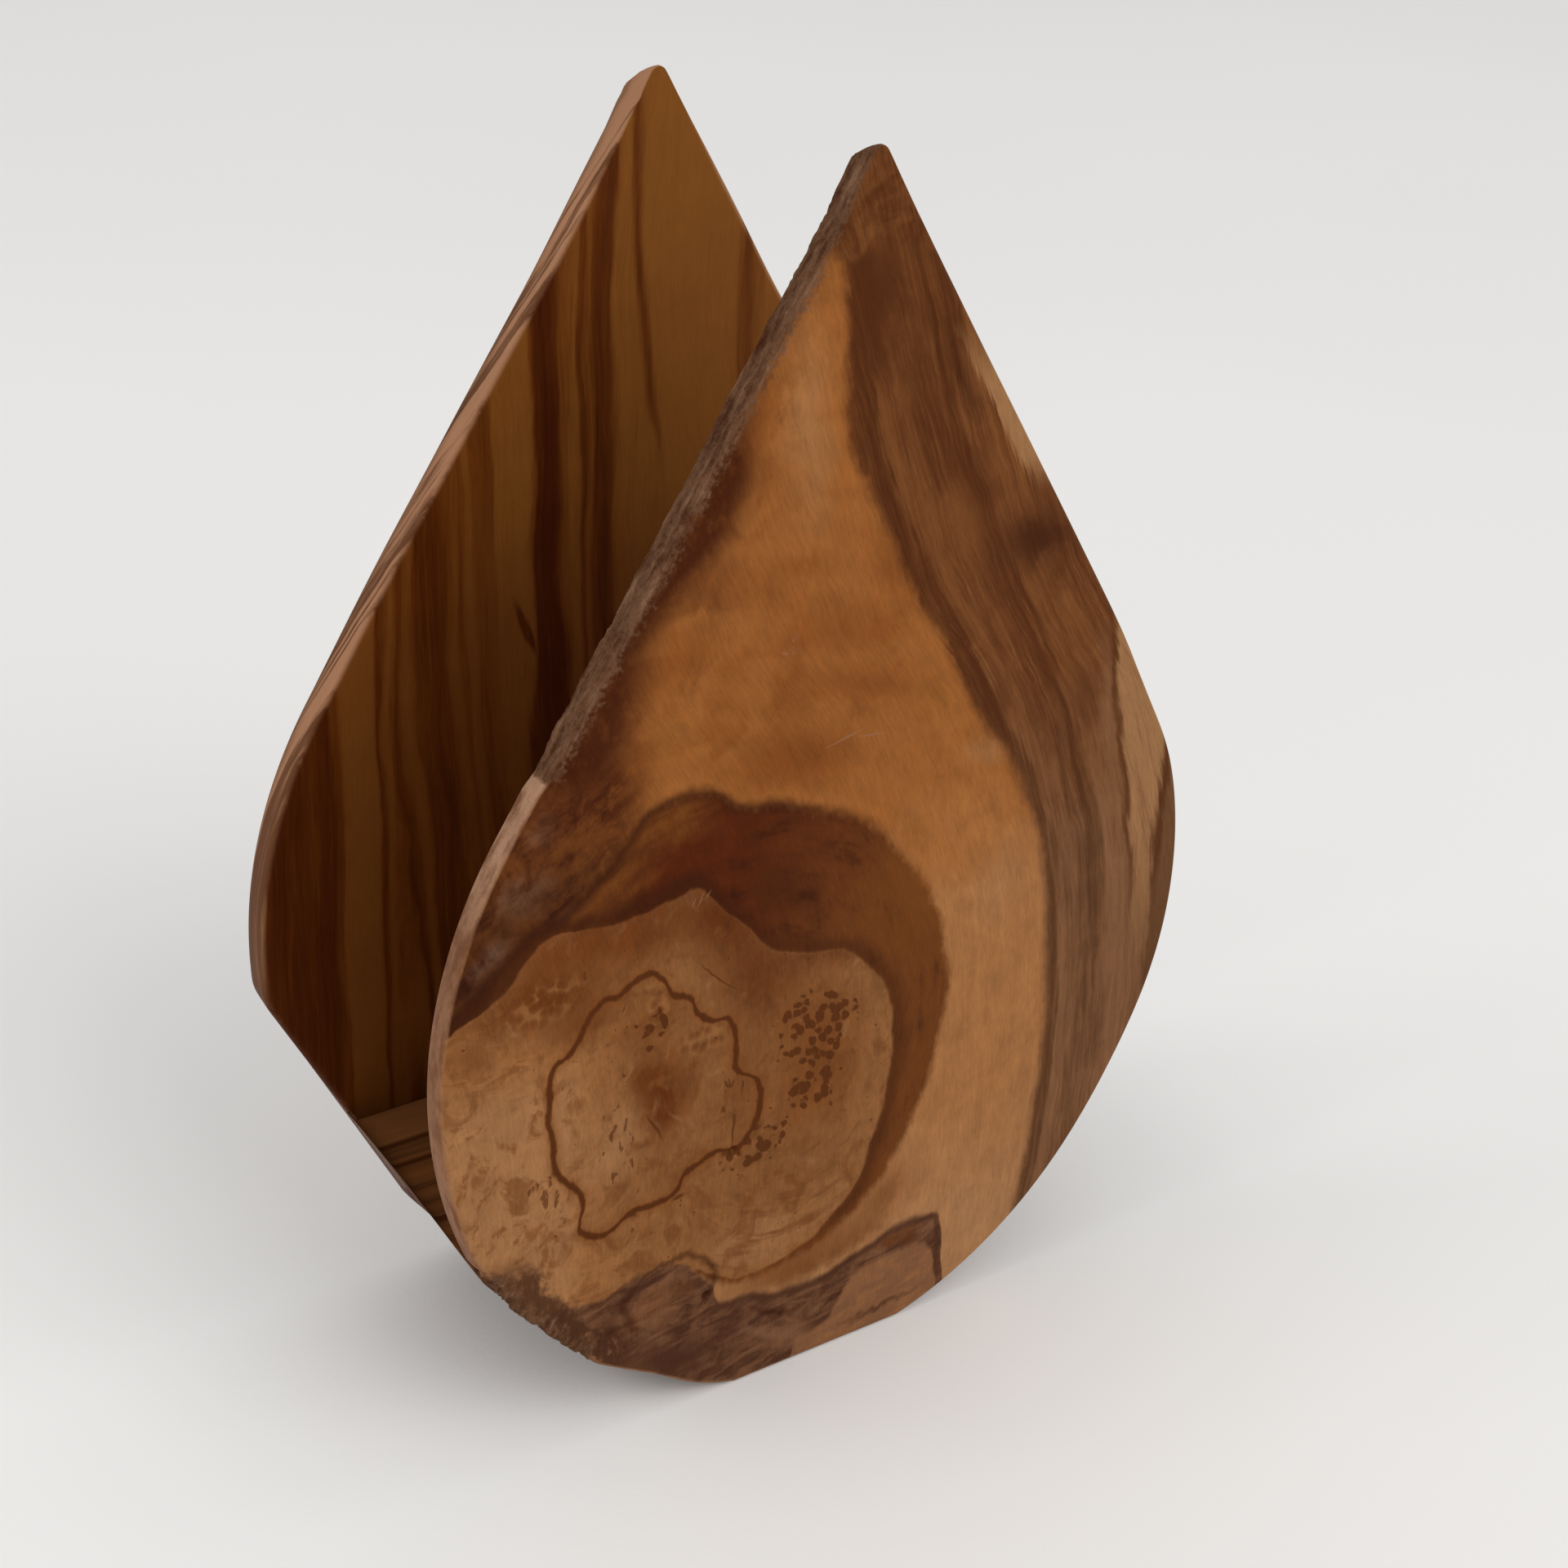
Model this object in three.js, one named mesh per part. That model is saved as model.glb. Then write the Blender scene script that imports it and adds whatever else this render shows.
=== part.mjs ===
// A wooden napkin holder: two drop-shaped plates stand parallel, and a block between their
// feet keeps them apart. Each plate is fixed to the block by one thin film of glue.
//
// Millimetres, +Z up. The origin is on the table under the middle of the holder. +X runs to
// the right as seen from the front, and +Y runs from the front plate to the back plate.

import * as THREE from 'three';

// ---- driving dimensions ---------------------------------------------------------------

const height = 150; // table to the tip of the plates
const bellyRadius = 53.5; // the round lower part of the drop
const tipRadius = 1.2; // the blunted point at the top
const footWidth = 25; // the flat cut across the bottom, which the holder stands on
const frontThickness = 3; // the front plate is the thinner one
const backThickness = 4;
const edgeEasing = 0.5; // sanded-off arris all round both faces of a plate
const slotDepth = 37.5; // clear space between the plates, where the napkins stand
const blockHeight = 26; // the napkins stand on the block's top
const glueThickness = 0.25;
const glueInset = 1; // the glue was wiped back from the visible edges
const curveSegments = 24; // half the number of straight pieces in each arc
const easingSegments = 2;

// ---- worked out from them -------------------------------------------------------------

const overallDepth = frontThickness + slotDepth + backThickness;
const slotFrontY = frontThickness - overallDepth / 2; // the front plate's inner face
const slotBackY = slotFrontY + slotDepth; // the back plate's inner face
const blockDepth = slotDepth - 2 * glueThickness;
const bellyCentreZ = Math.sqrt(bellyRadius ** 2 - (footWidth / 2) ** 2);
const tipCentreZ = height - tipRadius;

// The drop's straight sides touch both circles. This is the angle above the horizontal at
// which they leave the belly circle and meet the tip circle.
const shoulderAngle = Math.asin((bellyRadius - tipRadius) / (tipCentreZ - bellyCentreZ));

// ---- materials ------------------------------------------------------------------------

function wood(color, roughness) {
  return new THREE.MeshStandardMaterial({ color, roughness, metalness: 0 });
}

const figuredOlive = wood(0x9c6238, 0.48);
const stripedOlive = wood(0x7a4a22, 0.5);
const blockOlive = wood(0x6e4426, 0.52);
const driedGlue = new THREE.MeshStandardMaterial({ color: 0xc9a878, roughness: 0.6, metalness: 0 });

// ---- outlines, drawn in X (across) and Y (up) -----------------------------------------

// The angle below the horizontal at which a belly circle of this radius reaches a height.
function angleBelow(radius, z) {
  return Math.asin((bellyCentreZ - z) / radius);
}

// The whole drop: foot, right belly, tip, left belly.
function dropOutline() {
  const footAngle = angleBelow(bellyRadius, 0);
  const outline = new THREE.Shape();
  outline.absarc(0, bellyCentreZ, bellyRadius, -footAngle, shoulderAngle, false);
  outline.absarc(0, tipCentreZ, tipRadius, shoulderAngle, Math.PI - shoulderAngle, false);
  outline.absarc(0, bellyCentreZ, bellyRadius, Math.PI - shoulderAngle, Math.PI + footAngle, false);
  outline.closePath();
  return outline;
}

// The part of the drop below a level top, drawn in from its edge by an inset.
function lowerDropOutline(top, inset) {
  const radius = bellyRadius - inset;
  const footAngle = angleBelow(radius, inset);
  const topAngle = angleBelow(radius, top - inset);
  const outline = new THREE.Shape();
  outline.absarc(0, bellyCentreZ, radius, -footAngle, -topAngle, false);
  outline.absarc(0, bellyCentreZ, radius, Math.PI + topAngle, Math.PI + footAngle, false);
  outline.closePath();
  return outline;
}

// ---- solids ---------------------------------------------------------------------------

// Turns an outline into a slab that stands upright, from one depth back to another.
function standingSlab(outline, frontY, thickness, easing) {
  const geometry = new THREE.ExtrudeGeometry(outline, {
    depth: thickness - 2 * easing,
    curveSegments,
    bevelEnabled: easing > 0,
    bevelThickness: easing,
    bevelSize: easing,
    bevelOffset: -easing,
    bevelSegments: easingSegments,
  });
  geometry.rotateX(Math.PI / 2);
  geometry.translate(0, frontY + thickness - easing, 0);
  return geometry;
}

function namedMesh(name, geometry, material) {
  const mesh = new THREE.Mesh(geometry, material);
  mesh.name = name;
  return mesh;
}

function plate(name, frontY, thickness, material) {
  return namedMesh(name, standingSlab(dropOutline(), frontY, thickness, edgeEasing), material);
}

function baseBlock() {
  const frontY = slotFrontY + glueThickness;
  const slab = standingSlab(lowerDropOutline(blockHeight, 0), frontY, blockDepth, 0);
  return namedMesh('base_block', slab, blockOlive);
}

function glueFilm(name, frontY) {
  const outline = lowerDropOutline(blockHeight, glueInset);
  return namedMesh(name, standingSlab(outline, frontY, glueThickness, 0), driedGlue);
}

// ---- the assembly ---------------------------------------------------------------------

const napkinHolder = new THREE.Group();
napkinHolder.add(plate('front_plate', -overallDepth / 2, frontThickness, figuredOlive));
napkinHolder.add(glueFilm('glue_film_front', slotFrontY));
napkinHolder.add(baseBlock());
napkinHolder.add(glueFilm('glue_film_back', slotBackY - glueThickness));
napkinHolder.add(plate('back_plate', slotBackY, backThickness, stripedOlive));

export default napkinHolder;
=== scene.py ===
"""An olive wood napkin holder: two drop-shaped plates with a block between their feet.

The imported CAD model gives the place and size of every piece. Each one is remade here as a
finer mesh with sanded edges, and painted with wood figure built from shader nodes. Lengths
are millimetres until a mesh is made, apart from those of the camera, the floor and the lights.
Figure is drawn in the plates' own plane: x to the right and z up.
"""

import math

import bpy
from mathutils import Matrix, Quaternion, Vector, noise
from mathutils.geometry import delaunay_2d_cdt


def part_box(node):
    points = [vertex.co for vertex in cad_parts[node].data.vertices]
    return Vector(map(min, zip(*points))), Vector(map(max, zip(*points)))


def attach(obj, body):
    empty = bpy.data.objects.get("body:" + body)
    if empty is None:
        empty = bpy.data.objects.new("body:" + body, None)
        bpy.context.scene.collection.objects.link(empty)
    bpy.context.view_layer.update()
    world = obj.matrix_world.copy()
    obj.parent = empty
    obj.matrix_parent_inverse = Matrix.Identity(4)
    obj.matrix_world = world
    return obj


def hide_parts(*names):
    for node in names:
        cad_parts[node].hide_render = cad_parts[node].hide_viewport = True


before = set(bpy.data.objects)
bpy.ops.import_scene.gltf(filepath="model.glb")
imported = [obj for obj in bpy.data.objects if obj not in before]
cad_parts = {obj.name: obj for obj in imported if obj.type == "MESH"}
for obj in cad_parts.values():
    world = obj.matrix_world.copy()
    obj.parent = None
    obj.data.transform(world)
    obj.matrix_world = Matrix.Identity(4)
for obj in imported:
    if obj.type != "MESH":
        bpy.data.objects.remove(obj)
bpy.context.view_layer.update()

# ---- sizes from the frame ---------------------------------------------------------------

MM = 0.001


def box_mm(node):
    low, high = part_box(node)
    return low / MM, high / MM


FRONT_LOW, FRONT_HIGH = box_mm("front_plate")
BACK_LOW, BACK_HIGH = box_mm("back_plate")
BLOCK_LOW, BLOCK_HIGH = box_mm("base_block")
HEIGHT = FRONT_HIGH.z
BELLY_RADIUS = (FRONT_HIGH.x - FRONT_LOW.x) / 2

# ---- sizes shared with the CAD source, in millimetres -----------------------------------

FOOT_WIDTH = 25.0
TIP_RADIUS = 1.2
GLUE_INSET = 1.0

BELLY_Z = math.sqrt(BELLY_RADIUS**2 - (FOOT_WIDTH / 2) ** 2)
TIP_Z = HEIGHT - TIP_RADIUS
SHOULDER = math.asin((BELLY_RADIUS - TIP_RADIUS) / (TIP_Z - BELLY_Z))

# ---- outlines ---------------------------------------------------------------------------
# An outline is a closed chain of lines and arcs, anticlockwise in x and z as seen from the
# front. Each sampled point is (x, z, outward x, outward z).


def line(start, end, step):
    span = Vector(end) - Vector(start)
    count = max(1, round(span.length / step))
    along = span.normalized()
    for i in range(count):
        spot = Vector(start) + span * i / count
        yield spot.x, spot.y, along.y, -along.x


def foot(half_width, corner_tilt, step):
    """The flat foot. Its normals tilt towards the corners, to meet those of the belly."""
    count = round(2 * half_width / step)
    for i in range(count):
        part = 2 * i / count - 1
        tilt = corner_tilt * part**3
        yield half_width * part, 0.0, math.sin(tilt), -math.cos(tilt)


def arc(centre, radius, start, end, step):
    count = max(8, round(radius * abs(end - start) / step))
    for i in range(count):
        angle = start + (end - start) * i / count
        across, up = math.cos(angle), math.sin(angle)
        yield centre[0] + radius * across, centre[1] + radius * up, across, up


def around(centre, radius, angle):
    return centre[0] + radius * math.cos(angle), centre[1] + radius * math.sin(angle)


def drop_outline(step):
    """The whole plate: foot, right belly, right side, tip, left side, left belly."""
    belly, tip = (0, BELLY_Z), (0, TIP_Z)
    foot_angle = math.asin(BELLY_Z / BELLY_RADIUS)
    left = math.pi - SHOULDER
    return [
        *foot(FOOT_WIDTH / 2, math.pi / 2 - foot_angle, step),
        *arc(belly, BELLY_RADIUS, -foot_angle, SHOULDER, step),
        *line(around(belly, BELLY_RADIUS, SHOULDER), around(tip, TIP_RADIUS, SHOULDER), step),
        *arc(tip, TIP_RADIUS, SHOULDER, left, step),
        *line(around(tip, TIP_RADIUS, left), around(belly, BELLY_RADIUS, left), step),
        *arc(belly, BELLY_RADIUS, left, math.pi + foot_angle, step),
    ]


def lower_outline(step, inset, corner):
    """The drop below the block's top, drawn in by an inset, with rounded top corners."""
    radius = BELLY_RADIUS - inset
    top = BLOCK_HIGH.z - inset
    belly = (0, BELLY_Z)
    foot_angle = math.asin((BELLY_Z - inset) / radius)
    foot_x = radius * math.cos(foot_angle)
    corner_z = top - corner
    corner_x = math.sqrt((radius - corner) ** 2 - (BELLY_Z - corner_z) ** 2)
    meet = math.atan2(corner_z - BELLY_Z, corner_x)
    upright = math.pi / 2
    return [
        *line((-foot_x, inset), (foot_x, inset), step),
        *arc(belly, radius, -foot_angle, meet, step),
        *arc((corner_x, corner_z), corner, meet, upright, step),
        *line((corner_x, top), (-corner_x, top), step),
        *arc((-corner_x, corner_z), corner, upright, math.pi - meet, step),
        *arc(belly, radius, math.pi - meet, math.pi + foot_angle, step),
    ]


def depth_inside(x, z):
    """How far a point lies inside the drop's outline."""
    out_x, out_z = abs(x), z - BELLY_Z
    along_side = out_z * math.cos(SHOULDER) - out_x * math.sin(SHOULDER)
    if along_side < 0:
        side = BELLY_RADIUS - math.hypot(out_x, out_z)
    else:
        side = BELLY_RADIUS - out_x * math.cos(SHOULDER) - out_z * math.sin(SHOULDER)
    return min(side, z)


# ---- how the edges were worn and worked -------------------------------------------------

# Heights between which the front plate's left edge is live: near the tip, and near the foot.
BARK_TOP = (87.0, 151.0)
BARK_FOOT = (10.0, 30.0)

# How the live edge is eaten away: the usual depth, the coarse lumps and their size, the fine
# lumps and their size, and a factor on all of it.
UPPER_LUMPS = (0.5, 0.45, 3.4, 0.3, 1.2, 0.55)
LOWER_LUMPS = (0.45, 0.60, 2.4, 0.4, 1.0, 1.5)

# x, z, half-width and depth of the chip in the front plate and the nick in the back one.
CHIP = (-31.2, 10.8, 1.7, 1.5)
NICK = (-2.2, 146.5, 0.8, 0.5)


def smooth(value, low, high):
    t = min(1.0, max(0.0, (value - low) / (high - low)))
    return t * t * (3 - 2 * t)


def hill(value, centre, width):
    return math.exp(-(((value - centre) / width) ** 2))


# Flats sanded on the lower left: the way each faces in degrees, and its distance from the
# middle of the belly, on the front face and on the back face.
FLAT_FRONT = (223.0, 52.5)
FLAT_BACK = (208.9, 49.0)
FLAT_BLEND = 0.6  # how gently a flat runs out into the round


def rough(x, y, z, size, octaves=4):
    """Rough noise from about -1 to 1."""
    return noise.fractal(Vector((x, y, z)) / size, 0.7, 2.1, octaves)


def flattened(x, y, z, inset):
    """A point brought inside the slanting flat that was sanded across the lower left side."""
    across = (y - FRONT_LOW.y) / (BACK_HIGH.y - FRONT_LOW.y)
    facing = math.radians(FLAT_FRONT[0] + (FLAT_BACK[0] - FLAT_FRONT[0]) * across)
    kept = FLAT_FRONT[1] + (FLAT_BACK[1] - FLAT_FRONT[1]) * across - inset
    out_x, out_z = math.cos(facing), math.sin(facing)
    over = x * out_x + (z - BELLY_Z) * out_z - kept
    proud = over if over > FLAT_BLEND else max(0.0, over + FLAT_BLEND) ** 2 / (4 * FLAT_BLEND)
    return x - out_x * proud, z - out_z * proud


def sanded_away(x, y, z):
    """How much the maker took off the edge when the glued holder was sanded to shape."""
    uneven = 0.06 * (1 + noise.noise(Vector((x, y * 0.2, z)) / 17))
    if x > 0:
        uneven += 1.1 * hill(z, 24, 14)
    else:
        uneven += 1.2 * hill(z, 5, 7) * smooth(-y, -10, 20)
    return uneven * smooth(z, 0.0, 5.0)


TIP_ROUNDING = 0.12  # how fast the slope at the tip steepens


def blunted(y, z, near, fall):
    """A height brought under the rounding that slopes back and down from a plate's tip."""
    back = max(0.0, y - near)
    return min(z, HEIGHT - fall * back - TIP_ROUNDING * back**2)


def live_edge(x, z):
    """1 where the front plate's edge was left as it grew, 0 where it was sawn."""
    if x > 0.5:
        return 0.0
    top = smooth(z, BARK_TOP[0] - 1, BARK_TOP[0] + 1.5) * smooth(-x, -0.5, 0.3)
    low = smooth(z, BARK_FOOT[0], BARK_FOOT[0] + 1.5) * smooth(-z, -BARK_FOOT[1], 3 - BARK_FOOT[1])
    return max(top, low)


def front_wear(x, y, z):
    """Inward push and bark amount on the front plate's edge."""
    bark = live_edge(x, z)
    usual, coarse, coarse_size, fine, fine_size, factor = (
        LOWER_LUMPS if z < BELLY_Z else UPPER_LUMPS
    )
    lumps = usual + coarse * rough(x, y * 0.8, z, coarse_size)
    lumps = lumps + fine * rough(x + 9, y, z, fine_size, 3)
    push = sanded_away(x, y, z) + bark * max(0.0, lumps) * factor
    if x > 0:
        push += 0.7 * hill(z, 78, 7)
    chip_x, chip_z, chip_width, chip_depth = CHIP
    away = math.hypot(x - chip_x, z - chip_z) / chip_width
    push += chip_depth * max(0.0, 1 - away**1.5)
    return push, bark


def back_wear(x, y, z):
    """The back plate is sawn all round, a little unevenly, with one nick beside its tip."""
    nick_x, nick_z, nick_width, nick_depth = NICK
    nick = nick_depth * hill(math.hypot(x - nick_x, z - nick_z), 0, nick_width)
    if x < 0:
        uneven = smooth(z, 40, 50) * (0.10 - 0.35 * hill(z, 96, 14) + 0.25 * hill(z, 128, 8))
        uneven += 0.35 * smooth(y, BACK_HIGH.y - 1.5, BACK_HIGH.y) ** 2
    else:
        uneven = 0.6 * hill(z, 120, 12)
    return sanded_away(x, y, z) + nick + uneven, 0.0


def block_wear(x, y, z):
    return sanded_away(x, y, z) * smooth(BLOCK_HIGH.z - z, 0.0, 2.5), 0.0


def glue_wear(x, y, z):
    """The film's edge wanders, as squeezed glue does."""
    wander = 0.35 * (1 + noise.noise(Vector((x, 3 * y, z)) / 2.3))
    return sanded_away(x, y, z) + wander, 0.0


# ---- pits in the front face -------------------------------------------------------------

PITS = [  # x, z, radius, depth
    (-20.1, 13.1, 1.25, 0.9),
    (-17.2, 14.5, 0.75, 0.7),
    (-22.8, 12.2, 0.6, 0.45),
    (-28.3, 29.2, 0.75, 0.35),
    (-28.1, 27.6, 0.4, 0.35),
    (-15.9, 32.4, 0.35, 0.3),
    (-14.2, 33.6, 0.7, 0.35),
    (-11.2, 34.8, 0.75, 0.4),
    (-12.8, 29.4, 0.6, 0.25),
    (-24.6, 18.6, 0.5, 0.2),
]
PIT_RINGS = 5
PIT_SPOKES = 14
SANDING_DEPTH = 0.05


def pit_points():
    for x, z, radius, _ in PITS:
        yield x, z
        for ring in range(1, PIT_RINGS + 1):
            reach = 1.25 * radius * ring / PIT_RINGS
            for spoke in range(PIT_SPOKES):
                yield around((x, z), reach, math.tau * (spoke + ring / 2) / PIT_SPOKES)


def pit_depth(x, z):
    sunk = 0.0
    for pit_x, pit_z, radius, deep in PITS:
        ragged = 1 + 0.35 * noise.noise(Vector((x, deep * 50, z)) / 0.7)
        away = math.hypot(x - pit_x, z - pit_z) / (radius * ragged)
        sunk = max(sunk, deep * (1 - smooth(away, 0.35, 1.0)))
    return sunk


def hand_sanded(x, z):
    """The flat faces are very slightly wavy, never proud of the flat."""
    return SANDING_DEPTH * (1 + noise.noise(Vector((x, 7, z)) / 19))


def figured_relief(x, z):
    return hand_sanded(x, z) + pit_depth(x, z)


# ---- meshes -----------------------------------------------------------------------------

CAP_SPACING = 2.0  # between the points inside a flat face
RIM_PARTS = (1.0, 0.8, 0.62, 0.46, 0.32, 0.2)  # rings near a face's edge, as parts of the skirt
CORNER_TURNS = 5  # steps round an eased arris
PLATE_SKIRT = 6.5


def room_to_tip(z):
    """How far in from the edge the rings of a cap may go, which is less near the tip."""
    return 0.55 * TIP_RADIUS + 0.45 * max(0.0, TIP_Z - z)


def edge_profile(easing, skirt, thickness, step):
    """(inset, depth) pairs from the front cap's rim, over the edge, to the back cap's rim."""
    rim = [(skirt * part, 0.0) for part in RIM_PARTS] if skirt else []
    quarter = [math.pi / 2 * i / CORNER_TURNS for i in range(CORNER_TURNS + 1)]
    corner = [(easing * (1 - math.sin(a)), easing * (1 - math.cos(a))) for a in quarter]
    count = max(1, round((thickness - 2 * easing) / step))
    wall = [(0.0, easing + (thickness - 2 * easing) * i / count) for i in range(1, count)]
    half = rim + corner
    return half + wall + [(inset, thickness - depth) for inset, depth in reversed(half)]


def cap_grid(margin):
    """Staggered points inside the drop, at least a margin from its edge, and round the pits."""
    row_height = CAP_SPACING * math.sqrt(3) / 2
    for row in range(round(HEIGHT / row_height)):
        z = row * row_height
        for column in range(-30, 31):
            x = (column + (row % 2) / 2) * CAP_SPACING
            clear = all(math.hypot(x - p[0], z - p[1]) > 1.6 * p[2] for p in PITS)
            if clear and depth_inside(x, z) > margin:
                yield x, z
    yield from pit_points()


def triangulate(rim, inner):
    """Triangles over a rim and the points inside it."""
    spots = [Vector(p) for p in [*rim, *inner]]
    loop = list(range(len(rim)))
    edges = [(i, (i + 1) % len(rim)) for i in loop]
    made = delaunay_2d_cdt(spots, edges, [loop], 1, 1e-6)
    return [tuple(face) for face in made[2]], [tuple(v) for v in made[0]]


def slab(name, outline, low_y, high_y, easing, wear, skirt=0.0, step=0.5, reliefs=None, fall=0.0):
    """A standing slab with rounded arrises. reliefs are the hollows of its two faces, and fall
    is how steeply its top slopes down to the back."""
    rows = edge_profile(easing, skirt, high_y - low_y, step)
    points, bark, edge = [], [], []
    for inset, depth in rows:
        for x, z, out_x, out_z in outline:
            room = min(1.0, room_to_tip(z) / skirt) if skirt else 1.0
            y = low_y + depth
            push, bark_here = wear(x, y, z)
            fade = 1 - inset / skirt if skirt else 1.0
            away = inset * room + push * fade * min(1.0, 2 * room)
            new_x, new_z = flattened(x - out_x * away, y, z - out_z * away, inset * room)
            if fall:
                new_z = blunted(y, new_z + inset * room, low_y + 0.4, fall) - inset * room
            points.append((new_x, y, max(0.0, new_z)))
            bark.append(bark_here * fade)
            edge.append(fade if inset else 1.0)
    count = len(outline)
    faces = []
    for row in range(len(rows) - 1):
        for i in range(count):
            j = (i + 1) % count
            a, b = row * count, (row + 1) * count
            faces.append((a + i, a + j, b + j, b + i))

    inner = list(cap_grid(skirt + 1.0)) if skirt else []
    rim = [(points[i][0], points[i][2]) for i in range(count)]
    triangles, spots = triangulate(rim, inner)
    last = (len(rows) - 1) * count
    for side, start, y in ((0, 0, low_y), (1, last, high_y)):
        into = 1 if side == 0 else -1
        base = len(points)
        for x, z in spots[count:]:
            hollow = 0.0
            if reliefs:
                hollow = reliefs[side](x, z) * smooth(depth_inside(x, z), skirt, skirt + 3.0)
            points.append((x, y + into * hollow, z))
            bark.append(0.0)
            edge.append(0.0)
        for triangle in triangles:
            corners = [start + i if i < count else base + i - count for i in triangle]
            faces.append(corners[::-1] if side == 0 else corners)
    return make_mesh(name, points, faces, {"bark": bark, "edge": edge})


def make_mesh(name, points, faces, layers):
    mesh = bpy.data.meshes.new(name)
    mesh.from_pydata([tuple(v * MM for v in point) for point in points], [], faces)
    for layer, values in layers.items():
        mesh.attributes.new(layer, "FLOAT", "POINT").data.foreach_set("value", values)
    mesh.shade_smooth()
    mesh.validate()
    piece = bpy.data.objects.new(name, mesh)
    bpy.context.collection.objects.link(piece)
    return piece


# ---- node arithmetic --------------------------------------------------------------------

DULL_SHEEN = 0.045


class Field:
    """A number that varies over a surface: a shader node's output with arithmetic."""

    def __init__(self, paint, socket):
        self.paint = paint
        self.socket = socket

    def __add__(self, other):
        return self.paint.math("ADD", self, other)

    def __sub__(self, other):
        return self.paint.math("SUBTRACT", self, other)

    def __rsub__(self, other):
        return self.paint.math("SUBTRACT", other, self)

    def __mul__(self, other):
        return self.paint.math("MULTIPLY", self, other)

    def __truediv__(self, other):
        return self.paint.math("DIVIDE", self, other)

    __radd__ = __add__
    __rmul__ = __mul__


class Paint:
    """One material under construction. Places and lengths are in millimetres."""

    def __init__(self, name):
        self.material = bpy.data.materials.new(name)
        self.material.use_nodes = True
        self.nodes = self.material.node_tree.nodes
        self.links = self.material.node_tree.links
        self.shader = self.nodes["Principled BSDF"]
        place = self.nodes.new("ShaderNodeTexCoord").outputs["Object"]
        split = self.nodes.new("ShaderNodeSeparateXYZ")
        self.links.new(place, split.inputs[0])
        self.x, self.y, self.z = [Field(self, out) * (1 / MM) for out in split.outputs]
        self.solid = self.point(self.x, self.y, self.z)

    def plug(self, socket, value):
        if isinstance(value, Field):
            self.links.new(value.socket, socket)
        elif isinstance(value, tuple) and len(value) == 3 and socket.type == "RGBA":
            socket.default_value = (*value, 1.0)
        else:
            socket.default_value = value

    def math(self, operation, *values, clamp=False):
        node = self.nodes.new("ShaderNodeMath")
        node.operation = operation
        node.use_clamp = clamp
        for socket, value in zip(node.inputs, values):
            self.plug(socket, value)
        return Field(self, node.outputs[0])

    def high(self, a, b):
        return self.math("MAXIMUM", a, b)

    def size_of(self, value):
        return self.math("ABSOLUTE", value)

    def attribute(self, name):
        node = self.nodes.new("ShaderNodeAttribute")
        node.attribute_name = name
        return Field(self, node.outputs["Fac"])

    def point(self, x, y, z):
        node = self.nodes.new("ShaderNodeCombineXYZ")
        for socket, value in zip(node.inputs, (x, y, z)):
            self.plug(socket, value)
        return Field(self, node.outputs[0])

    def scaled(self, x=1.0, y=1.0, z=1.0):
        """The place with its axes scaled, for figure that is drawn out along one of them."""
        axes = zip((self.x, self.y, self.z), (x, y, z))
        return self.point(*[axis if scale == 1.0 else axis * scale for axis, scale in axes])

    def noise(self, place, size, detail=2.0, roughness=0.5, distortion=0.0):
        """Soft noise from -1 to 1, mostly within -0.5 to 0.5."""
        node = self.nodes.new("ShaderNodeTexNoise")
        self.plug(node.inputs["Vector"], place)
        self.plug(node.inputs["Scale"], 1.0 / size)
        self.plug(node.inputs["Detail"], detail)
        self.plug(node.inputs["Roughness"], roughness)
        self.plug(node.inputs["Distortion"], distortion)
        return Field(self, node.outputs["Fac"]) * 2.0 - 1.0

    def cells(self, place, size):
        """Distance to the nearest of many scattered points, in cell sizes."""
        node = self.nodes.new("ShaderNodeTexVoronoi")
        node.voronoi_dimensions = "2D"
        self.plug(node.inputs["Vector"], place)
        self.plug(node.inputs["Scale"], 1.0 / size)
        return Field(self, node.outputs["Distance"])

    def ramp(self, value, start, end, low=0.0, high=1.0):
        """A smooth step from low to high as value goes from start to end."""
        node = self.nodes.new("ShaderNodeMapRange")
        node.interpolation_type = "SMOOTHSTEP"
        for socket, given in zip(node.inputs, (value, start, end, low, high)):
            self.plug(socket, given)
        return Field(self, node.outputs[0])

    def step(self, value, softness):
        """0 where value is below zero, 1 above, over a softness."""
        return self.ramp(value, -softness / 2, softness / 2)

    def stroke(self, distance, half_width, softness):
        """1 on a line, from the distance to it."""
        return self.ramp(self.size_of(distance), half_width + softness, half_width - softness * 0.3)

    def curve(self, value, points):
        """A smooth curve through (input, output) points, level past its ends."""
        first, last = points[0][0], points[-1][0]
        outputs = [p[1] for p in points]
        least, most = min(outputs), max(outputs)
        node = self.nodes.new("ShaderNodeFloatCurve")
        track = node.mapping.curves[0].points
        places = [((a - first) / (last - first), (b - least) / (most - least)) for a, b in points]
        while len(track) < len(places):
            track.new(0.5, 0.5)
        for knot, place in zip(track, places):
            knot.location = place
        node.mapping.update()
        self.plug(node.inputs["Value"], (value - first) / (last - first))
        return Field(self, node.outputs[0]) * (most - least) + least

    def polar(self, x, z, centre):
        """Distance from a centre, and the angle round it in degrees from -180 to 180."""
        right, up = x - centre[0], z - centre[1]
        reach = self.math("SQRT", right * right + up * up)
        return reach, self.math("ARCTAN2", up, right) * (180 / math.pi)

    def vector(self, operation, place, value, output="Value"):
        node = self.nodes.new("ShaderNodeVectorMath")
        node.operation = operation
        self.plug(node.inputs[0], place)
        self.plug(node.inputs[1], value)
        return Field(self, node.outputs[output])

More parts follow.
